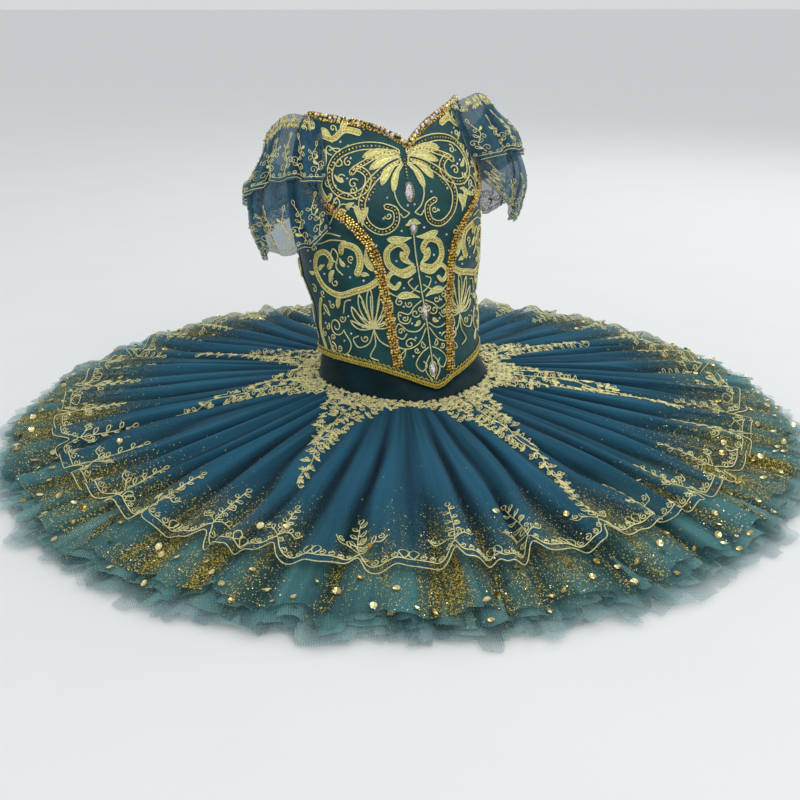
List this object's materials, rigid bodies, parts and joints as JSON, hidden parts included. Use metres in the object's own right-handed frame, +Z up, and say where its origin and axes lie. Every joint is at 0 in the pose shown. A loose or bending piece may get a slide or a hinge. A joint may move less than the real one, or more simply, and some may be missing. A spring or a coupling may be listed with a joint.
{
  "type": "ballet tutu",
  "caption": "Classical pancake tutu: boned satin bodice with off the shoulder sleeves, basque, knickers and a flat skirt of pleated net.",
  "frame": {"origin": "on the table under the middle of the round skirt, at the flat gusset of the knickers", "axes": "+Z up out of the neck, -Y towards the skirt's front, +X towards the wearer's left"},
  "size_m": [1.006, 1.006, 0.4048],
  "materials": {
    "satin": "deep teal duchess satin",
    "tulle": "soft petrol blue tulle",
    "glitter_net": "stiff teal net with gold glitter",
    "net": "stiff teal net",
    "pale_net": "stiff sea green net",
    "knit": "matte stretch knit",
    "organza": "sheer organza",
    "beads": "amber gold seed beads",
    "braid": "metallic gold braid",
    "crystals": "gold set crystals and beads",
    "lace": "corded metallic gold lace and embroidery",
    "sequins": "gold cup sequins"
  },
  "bodies": {
    "root": {"bodice_centre_front": "satin", "bodice_side_front_right": "satin", "bodice_side_back_right": "satin", "bodice_back_right": "satin", "seam_trim_right": "beads", "sleeve_lower_right": "organza", "sleeve_upper_right": "organza", "bodice_side_front_left": "satin", "bodice_side_back_left": "satin", "bodice_back_left": "satin", "seam_trim_left": "beads", "sleeve_lower_left": "organza", "sleeve_upper_left": "organza", "hem_braid": "braid", "neck_cord": "crystals", "basque": "satin", "knickers": "knit", "skirt_overlay": "tulle", "skirt_glitter_net": "glitter_net", "skirt_net_middle": "net", "skirt_net_lower": "pale_net", "lace_band": "lace", "lace_spoke_1": "lace", "lace_spoke_2": "lace", "lace_spoke_3": "lace", "lace_spoke_4": "lace", "lace_spoke_5": "lace", "lace_spoke_6": "lace", "lace_spoke_7": "lace", "lace_spoke_8": "lace"}
  },
  "joints": []
}
